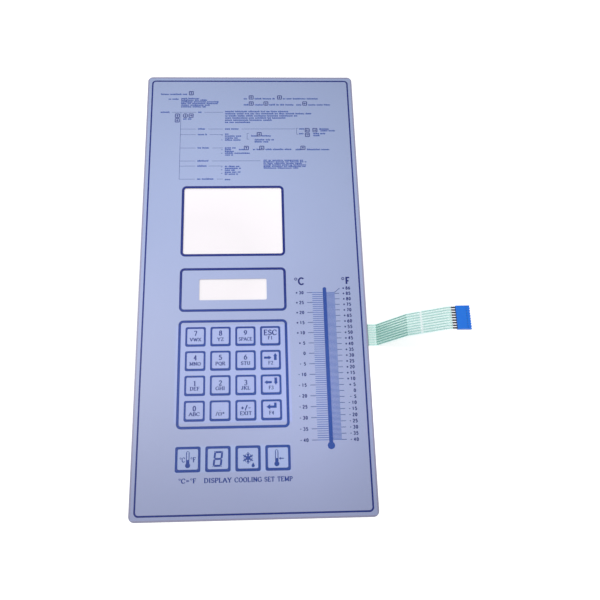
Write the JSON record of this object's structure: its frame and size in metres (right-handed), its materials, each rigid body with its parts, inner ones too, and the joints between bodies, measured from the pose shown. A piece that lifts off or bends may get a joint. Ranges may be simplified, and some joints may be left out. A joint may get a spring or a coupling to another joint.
{
  "type": "membrane keypad",
  "caption": "Flat membrane keypad with a printed clear overlay, two display windows, a temperature scale, and a sprung film tail that ends in a crimp connector.",
  "frame": {"origin": "centre of the panel's rear face, on the release liner", "axes": "+Z out of the printed front face, +Y towards the panel's top edge, +X towards the edge that the tail leaves"},
  "size_m": [0.323, 0.487, 0.0569],
  "materials": {
    "clear_film": "clear polyester film with a fine satin face",
    "dark_blue_ink": "screen printed on the rear of the overlay",
    "blue_ink": "screen printed on the rear of the overlay",
    "background_ink": "pale lilac blue, opaque",
    "adhesive": "clear acrylic adhesive",
    "circuit_film": "clear polyester film",
    "spacer_film": "polyester film with adhesive on both faces",
    "silver_ink": "matt printed silver",
    "carbon_ink": "printed carbon",
    "green_dielectric": "translucent green insulating print",
    "liner": "coated paper",
    "blue_housing": "moulded polyester, satin",
    "contact_metal": "tin plated phosphor bronze"
  },
  "bodies": {
    "root": {"overlay_film": "clear_film", "border_print": "dark_blue_ink", "frame_print": "blue_ink", "key_outline_print": "blue_ink", "key_symbol_print": "blue_ink", "scale_tube_print": "blue_ink", "scale_mark_print": "blue_ink", "chart_print": "blue_ink", "background_ink": "background_ink", "overlay_adhesive": "adhesive", "upper_circuit_film": "circuit_film", "row_traces": "silver_ink", "upper_contact_pads": "carbon_ink", "spacer": "spacer_film", "bridge_pads": "silver_ink", "lower_contact_pads": "carbon_ink", "column_traces": "silver_ink", "lower_circuit_film": "circuit_film", "tail_dielectric": "green_dielectric", "tail_second_cover": "green_dielectric", "contact_fingers": "carbon_ink", "rear_adhesive": "adhesive", "release_liner": "liner", "connector_housing": "blue_housing", "crimp_contacts": "contact_metal"}
  },
  "joints": []
}
